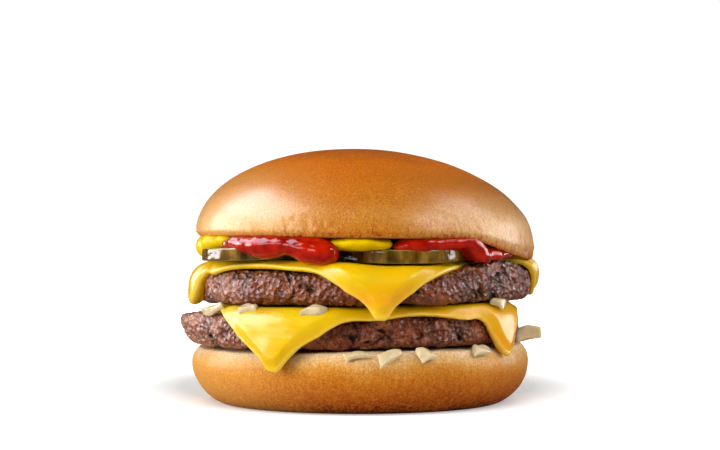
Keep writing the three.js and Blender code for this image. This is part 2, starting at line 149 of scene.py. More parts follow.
# Browns of a crust: share of the rise from low to high, then red, green and blue up to 255
CROWN_CRUST = {
    "low": -0.001,
    "high": CROWN_RISE,
    "browns": ((0.0, (172, 80, 8)), (0.05, (206, 118, 14)), (0.15, (200, 130, 30)),
               (0.27, (202, 136, 34)), (0.40, (200, 122, 12)), (0.62, (210, 120, 2)),
               (0.80, (220, 118, 1)), (0.90, (198, 102, 1)), (1.0, (184, 92, 1))),
    "streaked": 0.010,
    "gloss": 1.0,
    # painted light: the left side is turned lighter and more golden, as if lit from the left
    "painted_light_left": 0.55,
    # pale crust and a painted highlight just above the rim at the left and right
    "pale_and_sheen_sides": 0.9,
}
HEEL_CRUST = {
    "low": 0,
    "high": HEEL_HEIGHT,
    "browns": ((0.0, (96, 38, 4)), (0.06, (150, 66, 6)), (0.2, (178, 86, 10)),
               (0.42, (200, 112, 18)), (0.58, (210, 130, 28)), (0.72, (222, 160, 66)),
               (0.84, (238, 200, 132)), (0.92, (248, 222, 178)), (1.0, (248, 224, 182))),
    "streaked": 0.012,
    "gloss": 0.14,
    # painted light: the left side is turned lighter and more golden, as if lit from the left
    "painted_light_left": 0.65,
    # pale crust and a painted highlight just above the rim at the left and right
    "pale_and_sheen_sides": 0,
}


# ---- small tools ----

def smooth(value, start, end):
    """0 up to start, 1 from end on, and an even S between them."""
    share = min(max((value - start) / (end - start), 0), 1)
    return share * share * (3 - 2 * share)


def wrapped(degrees):
    """The same angle, between -180 and 180 degrees."""
    return (degrees + 180) % 360 - 180


def bell(difference, spread):
    """Bell of height 1 at an azimuth difference of 0, both in degrees."""
    return math.exp(-((wrapped(difference) / spread) ** 2))


def polar(radius, azimuth, height):
    turn = math.radians(azimuth)
    return Vector((radius * math.sin(turn), -radius * math.cos(turn), height))


def azimuth_of(x, y):
    return math.degrees(math.atan2(x, -y))


def settle(point):
    """All layers sink towards the stack's rim and rise a little from left to right."""
    share = math.hypot(point.x, point.y) / BUN_RADIUS
    point.z += STACK_SLOPE * point.x - RIM_DROOP * share ** 4
    return point


def grain(point, size, seed=0.0):
    """Smooth noise from -1 to 1 with lumps of about that size."""
    return noise.noise(point / size + Vector((seed, 1.7 * seed, -seed)))


def edit(piece):
    """Starts edit mode on one piece, with all of it selected."""
    bpy.ops.object.select_all(action="DESELECT")
    bpy.context.view_layer.objects.active = piece
    piece.select_set(True)
    bpy.ops.object.mode_set(mode="EDIT")
    bpy.ops.mesh.select_all(action="SELECT")


def done():
    bpy.ops.object.mode_set(mode="OBJECT")
    bpy.ops.object.select_all(action="DESELECT")


def apply_modifier(piece, kind, **settings):
    """Adds a modifier to a piece, sets it and applies it."""
    bpy.ops.object.select_all(action="DESELECT")
    bpy.context.view_layer.objects.active = piece
    piece.select_set(True)
    modifier = piece.modifiers.new(kind.title(), kind)
    for key, value in settings.items():
        setattr(modifier, key, value)
    bpy.ops.object.modifier_apply(modifier=modifier.name)
    piece.select_set(False)


def grown(name, rows, segments, place, mark=None):
    """A closed body: a circle extruded once for each row, then set out by place.

    place(row, azimuth) gives the point of a ring's vertex. The first and last rows lie
    on the axis, where their rings close to a pole. mark is the name of a number that a
    finish reads, and the function that gives it for a row.
    """
    bpy.ops.object.select_all(action="DESELECT")
    bpy.ops.mesh.primitive_circle_add(vertices=segments, radius=1)
    piece = bpy.context.object
    piece.name = name
    edit(piece)
    for _ in rows[1:]:
        bpy.ops.mesh.extrude_region_move(TRANSFORM_OT_translate={"value": (0, 0, 1)})
    done()
    vertices = piece.data.vertices
    steps = [round(vertex.co.z) for vertex in vertices]
    if mark:
        mark_name, mark_at = mark
        paint(piece, mark_name, [mark_at(rows[step]) for step in steps])
    for vertex, step in zip(vertices, steps):
        vertex.co = place(rows[step], azimuth_of(vertex.co.x, vertex.co.y))
    edit(piece)
    bpy.ops.mesh.remove_doubles(threshold=1e-6)
    bpy.ops.mesh.normals_make_consistent(inside=False)
    bpy.ops.mesh.faces_shade_smooth()
    done()
    return piece


def sculpt(piece, depth_at, mark=None):
    """Moves each vertex along its normal by depth_at(place, normal), and can mark the depth."""
    vertices = piece.data.vertices
    depths = [depth_at(vertex.co.copy(), vertex.normal.copy()) for vertex in vertices]
    moved = [vertex.co + vertex.normal * depth for vertex, depth in zip(vertices, depths)]
    for vertex, place in zip(vertices, moved):
        vertex.co = place
    if mark:
        paint(piece, mark, depths)


def paint(piece, name, values):
    """Stores one number for each vertex, for the piece's finish to read."""
    layer = piece.data.attributes.new(name, "FLOAT", "POINT")
    layer.data.foreach_set("value", values)


def dress(piece, material, slot, *nodes):
    """Gives a piece its finish, puts it under the root body and hides the solids it stands for."""
    piece.data.materials.clear()
    piece.data.materials.append(material)
    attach(piece, "root")
    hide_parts(*nodes)


# ---- finishes ----

def tint(red, green, blue):
    """Linear colour from the 0 to 255 values of a paint chart."""
    def linear(value):
        share = value / 255
        return share / 12.92 if share <= 0.04045 else ((share + 0.055) / 1.055) ** 2.4
    return (linear(red), linear(green), linear(blue), 1)


class Finish:
    """A material whose nodes are added by name, so that a finish reads as a list of steps."""

    def __init__(self, name):
        self.material = bpy.data.materials.new(name)
        self.material.use_nodes = True
        self.tree = self.material.node_tree
        self.shader = self.tree.nodes["Principled BSDF"]
        self.place = self.add("ShaderNodeTexCoord").outputs["Object"]
        self.axes = self.add("ShaderNodeSeparateXYZ", self.place).outputs

    def add(self, kind, *inputs, **settings):
        node = self.tree.nodes.new(kind)
        for key, value in settings.items():
            setattr(node, key, value)
        for socket, value in zip(node.inputs, inputs):
            self.set(socket, value)
        return node

    def set(self, socket, value):
        if isinstance(value, bpy.types.NodeSocket):
            self.tree.links.new(value, socket)
        elif value is not None:
            socket.default_value = value

    def shade(self, **values):
        """Sets the shader's sockets, given by name with _ for a space."""
        for name, value in values.items():
            self.set(self.shader.inputs[name.replace("_", " ")], value)

    def noise_at(self, place, scale, detail, roughness):
        node = self.add("ShaderNodeTexNoise")
        self.set(node.inputs["Vector"], place)
        node.inputs["Scale"].default_value = scale
        node.inputs["Detail"].default_value = detail
        node.inputs["Roughness"].default_value = roughness
        return node.outputs["Fac"]

    def cloud(self, size, detail=3.0, roughness=0.55):
        """Noise from 0 to 1 with lumps of about that size."""
        return self.noise_at(self.place, 1 / size, detail, roughness)

    def fibres(self, along_x, along_y, along_z, detail=3.0, roughness=0.6):
        """Noise from 0 to 1 with lumps of another size along each axis."""
        stretch = self.add("ShaderNodeMapping", self.place)
        stretch.inputs["Scale"].default_value = (1 / along_x, 1 / along_y, 1 / along_z)
        return self.noise_at(stretch.outputs[0], 1, detail, roughness)

    def cells(self, size):
        """Distance from the nearest of many points about that far apart."""
        node = self.add("ShaderNodeTexVoronoi", self.place)
        node.inputs["Scale"].default_value = 1 / size
        return node.outputs["Distance"]

    def mark(self, name):
        return self.add("ShaderNodeAttribute", attribute_name=name).outputs["Fac"]

    def math(self, operation, first, second=0.0):
        return self.add("ShaderNodeMath", first, second, operation=operation).outputs[0]

    def span(self, value, low, high, to_low=0.0, to_high=1.0):
        """Carries a value from one range to another, held inside it."""
        return self.add("ShaderNodeMapRange", value, low, high, to_low, to_high).outputs[0]

    def ramp(self, share, *stops):
        """Colours by share: stops are (share, (red, green, blue))."""
        node = self.add("ShaderNodeValToRGB", share)
        band = node.color_ramp.elements
        while len(band) < len(stops):
            band.new(0.5)
        for element, (place, colour) in zip(band, stops):
            element.position = place
            element.color = tint(*colour)
        return node.outputs["Color"]

    def blend(self, share, first, second, kind="MIX"):
        node = self.add("ShaderNodeMix", data_type="RGBA", blend_type=kind)
        for index, value in ((0, share), (6, first), (7, second)):
            self.set(node.inputs[index], value)
        return node.outputs[2]

    def relief(self, height, depth, under=None):
        """A bumped normal: height from 0 to 1 stands for that many metres."""
        node = self.add("ShaderNodeBump")
        node.inputs["Distance"].default_value = depth
        self.set(node.inputs["Height"], height)
        self.set(node.inputs["Normal"], under)
        return node.outputs["Normal"]


def crust_finish(name, spec):
    """Baked crust: bands of brown by height, downward streaks near the rim, a fine grain, painted
    light on the left side, and pale crust with a painted highlight just above the rim at the sides.
    """
    crust = Finish(name)
    rise = crust.mark("rise")
    low, gloss = spec["low"], spec["gloss"]
    patches = crust.cloud(0.014, 3)
    streaks = crust.fibres(0.0012, 0.0012, 0.012, 4, 0.65)
    threads = crust.fibres(0.0005, 0.0005, 0.009)
    fine = crust.cloud(0.00045, 2, 0.7)
    freckles = crust.cloud(0.0007, 2, 0.7)

    share = crust.math("ADD", crust.span(rise, low, spec["high"]),
                       crust.span(patches, 0.3, 0.7, -0.07, 0.07))
    near_rim = crust.span(rise, low, low + spec["streaked"], 1, 0.15)
    ribs = crust.math("ADD", crust.span(streaks, 0.35, 0.65, -0.15, 0.15),
                      crust.span(threads, 0.35, 0.65, -0.13, 0.13))
    streaked = crust.math("MULTIPLY", ribs, near_rim)
    colour = crust.ramp(crust.math("ADD", share, streaked), *spec["browns"])

    # Pale crust and a painted highlight: just above the rim the crust turns pale towards the left
    # and right sides
    sides = crust.span(crust.math("ABSOLUTE", crust.axes["X"]), 0.008, 0.034, 0, spec["pale_and_sheen_sides"])
    above_rim = crust.math("MULTIPLY", crust.span(rise, 0.0003, 0.0018),
                           crust.span(rise, 0.0045, 0.0145, 1, 0))
    pale = crust.math("MULTIPLY", crust.math("MULTIPLY", sides, above_rim),
                      crust.span(ribs, -0.15, 0.08, 0.4, 1.0))
    colour = crust.blend(pale, colour, tint(240, 202, 140))
    # Painted light: below the top, the left side is turned lighter and more golden, as if lit from
    # the left
    golden = crust.math("MULTIPLY",
                        crust.span(crust.axes["X"], -0.042, -0.006, spec["painted_light_left"], 0),
                        crust.span(share, 0.6, 0.85, 1, 0))
    colour = crust.blend(golden, colour, tint(240, 184, 88))
    dark_grain = crust.span(fine, 0.40, 0.64, 0.5, 0)
    colour = crust.blend(dark_grain, colour, tint(186, 112, 44), "MULTIPLY")
    colour = crust.blend(crust.span(freckles, 0.5, 0.68, 0, 0.22), colour, tint(240, 186, 74))

    grain_relief = crust.relief(fine, 0.0002)
    streak_relief = crust.relief(crust.math("MULTIPLY", streaks, near_rim), 0.0006, grain_relief)
    shine = crust.math("MULTIPLY", crust.span(rise, 0.001, 0.007, gloss * 0.4, gloss),
                       crust.span(rise, 0.0145, 0.0205, 1, 0.12))
    crust.shade(
        Base_Color=colour,
        Roughness=crust.span(patches, 0.3, 0.7, 0.42, 0.52),
        Normal=streak_relief,
        Specular_IOR_Level=0.04,
        Subsurface_Weight=0.1,
        Subsurface_Scale=0.002,
        Subsurface_Radius=(1.0, 0.5, 0.25),
        Coat_Weight=shine,
        Coat_Roughness=0.31,
    )
    return crust.material


def beef_finish():
    """Grilled mince: brown granules, fatty strands, dark specks, pits and cracks darkened with
    painted shade, a painted sheen on the far left, and wet patches.
    """
    beef = Finish("grilled_beef")
    depth = beef.mark("crag")
    patches = beef.cloud(0.009, 3)
    strands = beef.cloud(0.0013, 4, 0.7)
    specks = beef.cloud(0.0006, 3, 0.65)
    granules = beef.cells(0.0015)
    wet = beef.cloud(0.0045, 3, 0.6)

    colour = beef.ramp(patches, (0.3, (100, 36, 10)), (0.45, (126, 54, 20)),
                       (0.58, (154, 80, 34)), (0.72, (112, 44, 14)))
    colour = beef.blend(beef.span(strands, 0.52, 0.7, 0, 0.7), colour, tint(180, 108, 74))
    colour = beef.blend(beef.span(specks, 0.38, 0.52, 0.8, 0), colour, tint(46, 14, 6))
    # Painted sheen: the far left of the patties is lightened towards pale pink, as if lit by the
    # left softbox
    far_left = beef.span(beef.axes["X"], -0.048, -0.029, 0.6, 0)
    colour = beef.blend(far_left, colour, tint(222, 152, 122))
    # Painted shade: pits and cracks are darkened towards black by their depth
    colour = beef.blend(beef.span(depth, -0.0013, -0.0003, 1, 0), colour, tint(24, 7, 2))

    bumps = beef.relief(granules, 0.0011, beef.relief(strands, 0.0006))
    beef.shade(
        Base_Color=colour,
        Roughness=beef.math("ADD", beef.span(wet, 0.50, 0.60, 0.04, 0.45),
                            beef.span(specks, 0.4, 0.6, 0, 0.05)),
        Normal=beef.relief(specks, 0.0002, bumps),
        Specular_IOR_Level=0.6,
    )
    return beef.material


def cheese_finish():
    """Melted slices: yellow, with painted orange shade where they hang and on the lower slice's
    right, and a painted pale highlight at their edges.
    """
    cheese = Finish("melted_cheese")
    patches = cheese.cloud(0.016, 2)
    colour = cheese.blend(cheese.span(patches, 0.4, 0.62), tint(226, 180, 1), tint(230, 196, 2))
    # Painted shade: the band hanging 3 to 12 mm below the patty's top turns orange, more on the
    # right
    fallen = cheese.math("MULTIPLY", cheese.mark("fall"),
                         cheese.span(cheese.axes["X"], -0.018, -0.004, 0.1, 0.65))
    colour = cheese.blend(fallen, colour, tint(232, 146, 1))
    # Painted shade: the lower slice's right part is tinted a warm orange
    warm = cheese.math("MULTIPLY", cheese.span(cheese.axes["X"], -0.010, 0.014, 0, 0.6),
                       cheese.span(cheese.axes["Z"], 0.027, 0.031, 1, 0.3))
    colour = cheese.blend(warm, colour, tint(236, 160, 4))
    # Painted highlight: the slice's edges are lightened towards pale cream
    pale_edge = cheese.math("MULTIPLY", cheese.mark("edge"), 0.5)
    colour = cheese.blend(pale_edge, colour, tint(255, 228, 116))
    cheese.shade(
        Base_Color=colour,
        Roughness=cheese.span(patches, 0.3, 0.7, 0.22, 0.3),
        Normal=cheese.relief(cheese.cloud(0.0035, 2), 0.0002),
        Specular_IOR_Level=0.36,
        Subsurface_Weight=0.3,
        Subsurface_Scale=0.003,
        Subsurface_Radius=(1.0, 0.5, 0.05),
    )
    return cheese.material


def pickle_finish():
    """Wet pickled cucumber: a dark striped rind round paler flesh."""
    pickle = Finish("pickled_cucumber")
    stripes = pickle.fibres(0.0028, 0.0028, 0.012)
    mottle = pickle.cloud(0.0012, 3, 0.6)
    rind = pickle.ramp(stripes, (0.32, (48, 32, 2)), (0.5, (104, 74, 10)), (0.66, (152, 112, 44)))
    rind = pickle.blend(pickle.span(mottle, 0.5, 0.8, 0, 0.5), rind, tint(60, 62, 16))
    flesh = pickle.blend(mottle, tint(168, 152, 70), tint(196, 184, 110))
    pickle.shade(
        Base_Color=pickle.blend(pickle.mark("skin"), flesh, rind),
        Roughness=pickle.span(mottle, 0.3, 0.7, 0.05, 0.14),
        Normal=pickle.relief(mottle, 0.0001, pickle.relief(stripes, 0.00016)),
        Specular_IOR_Level=0.7,
        Subsurface_Weight=0.2,
        Subsurface_Scale=0.002,
        Subsurface_Radius=(0.8, 1.0, 0.3),
    )
    return pickle.material


def sauce_finish(name, deep, bright, roughness, specular, scatter):
    """A smooth sauce with a skin: swirls from a deep to a bright tone."""
    sauce = Finish(name)
    swirls = sauce.cloud(0.004, 2)
    skin = sauce.cloud(0.0014, 3, 0.6)
    sauce.shade(
        Base_Color=sauce.blend(sauce.span(swirls, 0.35, 0.65), tint(*deep), tint(*bright)),
        Roughness=sauce.span(skin, 0.3, 0.7, roughness, roughness * 2),
        Normal=sauce.relief(skin, 0.0001),
        Specular_IOR_Level=specular,
        Subsurface_Weight=0.15,
        Subsurface_Scale=0.0015,
        Subsurface_Radius=scatter,
    )
    return sauce.material


def onion_finish():
    """Raw chopped onion: pale, fibrous and a little see-through."""
    onion = Finish("raw_onion")
    fibres = onion.fibres(0.0007, 0.005, 0.0014)
    onion.shade(
        Base_Color=onion.blend(fibres, tint(200, 176, 130), tint(232, 214, 180)),
        Roughness=onion.span(fibres, 0.3, 0.7, 0.14, 0.26),
        Normal=onion.relief(fibres, 0.00015),
        Specular_IOR_Level=0.6,
        Subsurface_Weight=0.7,
        Subsurface_Scale=0.003,
        Subsurface_Radius=(1.0, 0.9, 0.6),
    )
    return onion.material


# ---- bun ----

def heel_radius(height):
    """The bottom bun flares from its foot to its belly, then draws in to its lip."""
    if height < HEEL_BELLY:
        share = (1 - (1 - height / HEEL_BELLY) ** HEEL_FLARE) ** (1 / HEEL_FLARE)
        return FOOT_RADIUS + (BUN_RADIUS - FOOT_RADIUS) * share
    return BUN_RADIUS - LIP_INSET * ((height - HEEL_BELLY) / (LIP_HEIGHT - HEEL_BELLY)) ** LIP_CURVE


def make_heel(material):
    rows = [(0, 0), (0.012, 0), (0.026, 0), (0.034, 0), (0.0365, 0.00002)]
    steps = 26
    for i in range(1, steps + 1):
        height = HEEL_BELLY * (1 - math.cos(math.pi / 2 * i / steps)) + 0.00004
        rows.append((heel_radius(min(height, HEEL_BELLY)), height))
    for i in range(1, 13):
        height = HEEL_BELLY + (LIP_HEIGHT - HEEL_BELLY) * i / 12
        rows.append((heel_radius(height), height))
    for inset in (0.0002, 0.0006, 0.0012, 0.002, 0.003, 0.005, 0.008, 0.013, 0.022, 0.034):
        radius = BUN_RADIUS - LIP_INSET - inset
        rise = smooth(inset, 0, 0.0022)
        flat = HEEL_HEIGHT - RIM_DROOP * (radius / BUN_RADIUS) ** 4
        rows.append((radius, LIP_HEIGHT + (flat - LIP_HEIGHT) * rise))
    rows.append((0, HEEL_HEIGHT))

    def place(row, azimuth):
        point = polar(row[0], azimuth, row[1])
        point.z += STACK_SLOPE * point.x * smooth(row[1], HEEL_BELLY - 0.005, HEEL_HEIGHT)
        return point

    def crumb(point, _):
        near_lip = smooth(point.z, 0.010, 0.0155) * smooth(point.xy.length, 0.040, 0.044)
        wave = 0.00025 * grain(point, 0.011, 3) * smooth(point.z, 0.001, 0.006)
        pucker = 0.00022 * grain(Vector((point.x, point.y, point.z / 5)), 0.0028, 9)
        torn = 0.00016 * grain(point, 0.0011, 5) * smooth(point.z, 0.0158, 0.0165)
        return wave + near_lip * (pucker + torn) - 0.00012

    heel = grown("heel", rows, 360, place, ("rise", lambda row: row[1]))
    sculpt(heel, crumb)
    dress(heel, material, "bun_crust", "bun_bottom")


def rim_drop(x):
    """How far the crown's rim hangs on the right and lifts on the left."""
    return (CROWN_HANG * smooth(x, CROWN_HANG_START, CROWN_HANG_END)
            + CROWN_LEFT_SLOPE * min(x, 0))


def crown_underside(x, y):
    reach = math.hypot(x - CROWN_SHIFT, y)
    return CROWN_BASE - rim_drop(x) * smooth(reach, 0.038, BUN_RADIUS)


def make_crown(material):
    rows = [(radius, 0) for radius in (0, 0.012, 0.024, 0.034, 0.040, 0.043, 0.0448)]
    for i in range(1, 8):
        turn = math.pi / 2 * i / 8
        across = BUN_RADIUS - 0.00045 - CROWN_FILLET + CROWN_FILLET * math.sin(turn)
        rows.append((across, CROWN_FILLET - CROWN_FILLET * math.cos(turn)))
    start = math.asin((CROWN_FILLET + 0.0002) / CROWN_RISE)
    steps = 52
    for i in range(steps):
        angle = start + (math.pi / 2 - start) * i / steps
        rows.append((BUN_RADIUS * math.cos(angle), CROWN_RISE * math.sin(angle)))
    rows.append((0, CROWN_RISE))

    def place(row, azimuth):
        radius, height = row
        point = polar(radius, azimuth, height)
        near_rim = max(0, 1 - height / 0.007) ** 2
        swollen = 0.0008 * (1 - smooth(height, 0, 0.012)) * smooth(point.x, 0.010, 0.046)
        point.x += CROWN_SHIFT + swollen
        point.z += CROWN_BASE - rim_drop(point.x) * near_rim * smooth(radius, 0.038, BUN_RADIUS)
        point.x += CROWN_LEAN * height
        return point

    def crease(point, _):
        outside = smooth(point.xy.length, 0.040, 0.045)
        height = point.z - crown_underside(point.x, point.y)
        near_rim = outside * (1 - smooth(height, 0.0005, 0.0075))
        around = Vector((point.x, point.y, point.z / 6))
        folds = abs(grain(around, 0.0045, 4))
        fine = grain(around, 0.0016, 8)
        dents = 0.00014 * grain(point, 0.012, 2)
        rare = smooth(grain(point, 0.014, 12), 0.0, 0.4)
        cuts = -CREASE_DEPTH * max(0, 1 - folds / 0.09) * near_rim * rare
        return dents + cuts + 0.00006 * fine * near_rim

    crown = grown("crown", rows, 480, place, ("rise", lambda row: row[1]))
    sculpt(crown, crease)
    dress(crown, material, "bun_crust", "bun_top")


# ---- patties ----

def patty_edge(patty, azimuth):
    radius = patty["radius"]
    for count, depth, phase in patty["lobes"]:
        radius += depth * math.sin(count * math.radians(azimuth) + phase)
    return radius


def patty_top(patty, azimuth, radius):
    share = min(radius / (patty["radius"] - patty["thick"] / 2), 1)
    height = patty["low"] + patty["thick"]
    for middle, spread, rise, power in patty["swells"]:
        height += rise * share ** power * bell(azimuth - middle, spread)
    return height


def patty_overhang(patty, azimuth):
    """How far the upper half of the side leans out, and the lower half in."""
    return sum(reach * bell(azimuth - middle, spread)
               for middle, spread, reach in patty["overhangs"])


def bulge(share):
    """Share of a side's half height or depth: fuller than a circle's."""
    return math.copysign(abs(share) ** SIDE_FULLNESS, share)


def crag_depth(point, seed):
    """Depth of the meat's surface below its smooth form: lumps, granules, cracks and pits."""
    warp = Vector((grain(point, 0.004, seed), grain(point, 0.004, seed + 3),
                   grain(point, 0.004, seed + 6)))
    spot = point + warp * 0.0010
    lumps = 0.00055 * grain(point, 0.0085, seed + 1) + 0.00038 * grain(spot, 0.0034, seed + 2)
    granule = min(noise.voronoi(spot / 0.0017)[0][0], 1)
    crumb = min(noise.voronoi(spot / 0.0009)[0][0], 1)
    broken = smooth(grain(point, 0.007, seed + 11), -0.3, 0.4)
    crack = 1 - smooth(abs(grain(spot, 0.0055, seed + 14)), 0.0, 0.075)
    pit = smooth(grain(spot, 0.0026, seed + 17), 0.36, 0.62)
    return (0.00036 - lumps + 0.00046 * granule ** 2 * (0.5 + broken) + 0.00036 * crumb ** 2
            + 0.0007 * crack * broken + 0.0008 * pit * (0.3 + broken))


def make_patty(name, spec, seed, material):
    half = spec["thick"] / 2
    core = spec["radius"] - half
    flat = [(core * share, -half) for share in (0, 0.3, 0.6, 0.8, 0.88, 0.94, 0.98)]
    side = []
    for i in range(PATTY_SIDE_STEPS + 1):
        share = 2 * i / PATTY_SIDE_STEPS - 1
        near, far = abs(share) ** (1 / SIDE_FULLNESS), (1 - abs(share)) ** (1 / SIDE_FULLNESS)
        angle = math.copysign(math.pi / 2 * near / (near + far), share)
        side.append((core + half * bulge(math.cos(angle)), half * bulge(math.sin(angle))))
    rows = flat + side + [(radius, half) for radius, _ in reversed(flat)]

    def place(row, azimuth):
        radius, height = row
        raised = patty_top(spec, azimuth, radius) - (spec["low"] + spec["thick"])
        lean = (patty_overhang(spec, azimuth) * (height / half)
                * smooth(radius, core * 0.7, core))
        across = radius * (patty_edge(spec, azimuth) / spec["radius"]) + lean
        point = polar(across, azimuth, height)
        for middle, spread, rise, outward in spec["crusts"]:
            share = bell(azimuth - middle, spread) * smooth(radius, core * 0.93, core * 1.06)
            raised += rise * share
            point += polar(outward * share, azimuth, 0)
        point.z += spec["low"] + half + raised * smooth(height, -half, half)
        point.x += spec["centre"][0]
        point.y += spec["centre"][1]
        return settle(point)

    def crumble(point, _):
        outer = smooth(point.xy.length, core * 0.86, core * 0.97)
        return 0.0002 - outer * crag_depth(point, seed)

    patty = grown(name.replace("patty", "beef"), rows, PATTY_SEGMENTS, place)
    sculpt(patty, crumble, mark="crag")
    dress(patty, material, "beef", name)


# ---- cheese ----

def slice_reach(cheese, azimuth):
    """Distance from the patty's axis to the edge of the flat slice, along an azimuth."""
    turn = math.radians(cheese["turn"] + 45)
    near, far = 0, cheese["half"] * 2
    for _ in range(24):
        middle = (near + far) / 2
        spot = polar(middle, azimuth, 0)
        across = spot.x - cheese["offset"][0]
        along = spot.y - cheese["offset"][1]
        u = abs(across * math.cos(turn) + along * math.sin(turn)) / cheese["half"]
        v = abs(along * math.cos(turn) - across * math.sin(turn)) / cheese["half"]
        if u ** CORNER_POWER + v ** CORNER_POWER < 1:
            near = middle
        else:
            far = middle
    reach = near + sum(further * bell(azimuth - middle, spread)
                       for middle, spread, further in cheese["edges"])
    wobble = polar(0.02, azimuth, cheese["turn"] / 1000)
    return reach + 0.0005 * grain(wobble, 0.004, 2) + 0.00012 * grain(wobble, 0.0012, 5)


def drape(cheese, azimuth, run, lift):
    """Radius and height of the slice at a run along it, lifted off the patty's face.

    The slice lies flat, bends over the patty's rim and hangs.
    """
    carrier = cheese["patty"]
    half = carrier["thick"] / 2
    edge = patty_edge(carrier, azimuth)
    flat = edge - half
    if run < flat:
        return run, patty_top(carrier, azimuth, run) + lift
    middle = carrier["low"] + half
    raised = patty_top(carrier, azimuth, edge) - middle - half
    bend = min((run - flat) / (half + GAP), math.pi / 2)
    fall = max(0, run - flat - (half + GAP) * math.pi / 2)
    swell = raised * smooth(bulge(math.cos(bend)), -1, 1)
    lean = cheese["lean"] * max(0, math.cos(math.radians(azimuth)))
    clear = half + lift + 0.00016 * math.sin(2 * bend)
    outer = smooth(lift, SLICE_LIFT, SLICE_LIFT + cheese["thick"])
    fullness = SIDE_FULLNESS + (cheese["fullness"] - SIDE_FULLNESS) * outer
    return (flat + clear * math.sin(bend) ** fullness + lean * fall * (0.35 + 0.65 * outer),
            middle + clear * max(0, math.cos(bend)) ** fullness + swell - fall)


def off_the_bun(point, azimuth, clear):
    """Pushes a hanging flap out over the bottom bun's side, softly where it passes the lip."""
    outside = heel_radius(min(max(point.z, 0), LIP_HEIGHT)) + clear
    short = outside - point.xy.length - 1.1 * max(0, point.z - LIP_HEIGHT)
    push = (short + math.hypot(short, 0.0012)) / 2 * (1 - smooth(point.z, 0.0185, 0.0215))
    return point + polar(push, azimuth, 0)


def make_cheese(name, cheese, material):
    """A slice whose rows are (share of the reach, face): face is 0 below and 1 above."""
    inner = [(share, 0) for share in (0, 0.25, 0.5, 0.68)]
    inner += [(0.72 + 0.28 * i / SLICE_RINGS, 0) for i in range(SLICE_RINGS + 1)]
    turns = [math.pi * (i / 8 - 0.5) for i in range(1, 8)]
    bead = [(1 + math.cos(turn), 0.5 + 0.5 * math.sin(turn)) for turn in turns]
    rows = inner + bead + [(share, 1) for share, _ in reversed(inner)]
    carrier = cheese["patty"]
    flat = carrier["radius"] - carrier["thick"] / 2

    @functools.lru_cache(maxsize=None)
    def kept_reach(azimuth):
        return slice_reach(cheese, azimuth)

    def reach_at(azimuth):
        return kept_reach(round(azimuth, 4))

    def hanging(along):
        return smooth(along, flat - 0.002, flat + 0.007)

    def thickness(azimuth, along):
        """Flaps are thicker than the slice, its edges thinner, and folds and drops swell."""
        reach = reach_at(azimuth)
        steepness = (reach_at(azimuth + 1.5) - reach_at(azimuth - 1.5)) / (reach * math.radians(3))
        to_edge = (reach - along) / math.hypot(1, steepness)
        folded = sum(bell(azimuth - middle, spread) for middle, spread, _ in cheese["folds"])
        thick = cheese["thick"] + FLAP_THICKENING * hanging(along)
        thick *= 1 - EDGE_THINNING * (1 - folded) * (1 - smooth(to_edge, 0, 0.0024))
        for middle, spread, extra in cheese["folds"]:
            fallen = smooth(along, flat + 0.002, flat + 0.010)
            thick += extra * fallen * bell(azimuth - middle, spread)
        for middle, spread, extra in cheese["drops"]:
            aside = math.radians(wrapped(azimuth - middle)) * reach * 5 / spread
            from_tip = math.hypot(reach_at(middle) - along, aside)
            thick += extra * (1 - smooth(from_tip, 0.0010, 0.0095))
        return thick

    def place(row, even_azimuth):
        share, face = row
        crowding = CORNER_CROWDING * math.sin(4 * math.radians(even_azimuth - cheese["turn"]))
        azimuth = even_azimuth - math.degrees(crowding) / 4
        reach = reach_at(azimuth)
        along = reach * min(share, 1)
        thick = thickness(azimuth, along)
        run = (reach + EDGE_BEAD - thick / 2) * min(share, 1) + max(0, share - 1) * thick / 2
        lumps = 0.0008 * grain(polar(run, azimuth, 0), 0.0085, 6) * hanging(along) * face
        lift = MELTED_LIFT + face * (SLICE_LIFT - MELTED_LIFT + thick)
        radius, height = drape(cheese, azimuth, run, lift + lumps)
        point = polar(radius, azimuth, height)
        point.x += carrier["centre"][0]
        point.y += carrier["centre"][1]
        return off_the_bun(settle(point), azimuth, GAP + face * thick)

    # edge: the slice's bead and the rim of its upper face, which the finish paints pale as a
    # highlight
    def rim(row):
        share, face = row
        if share > 1:
            return max(0, 1 - abs(face - 0.8) / 0.3)
        return 0.3 * face * smooth(share, 0.985, 1)

    # fall: the band hanging 3 to 12 mm below the patty's top, which the finish paints orange as
    # shade
    def fall(point):
        below = carrier["low"] + carrier["thick"] - point.z
        return smooth(below, 0.003, 0.009) * (1 - smooth(below, 0.009, 0.012))

    slice_piece = grown(name.replace("cheese", "slice"), rows, SLICE_SEGMENTS, place, ("edge", rim))
    paint(slice_piece, "fall", [fall(vertex.co) for vertex in slice_piece.data.vertices])
    dress(slice_piece, material, "cheese", name)


def upper_slice_top(x, y):
    """Height of the upper slice's upper face, with its bend, at a place."""
    spot = Vector((x - UPPER_PATTY["centre"][0], y - UPPER_PATTY["centre"][1], 0))
    radius = spot.length
    azimuth = azimuth_of(spot.x, spot.y)
    half = UPPER_PATTY["thick"] / 2
    beyond = max(0, radius - patty_edge(UPPER_PATTY, azimuth) + half)
    lift = SLICE_LIFT + UPPER_SLICE_THICK + 0.0005 * smooth(beyond, 0, 0.006)
    bent = (half + lift) * bulge(math.sqrt(max(0, 1 - (beyond / (half + lift)) ** 2)))
    top = patty_top(UPPER_PATTY, azimuth, radius) - half + bent
    return settle(Vector((x, y, top))).z


# ---- pickles ----

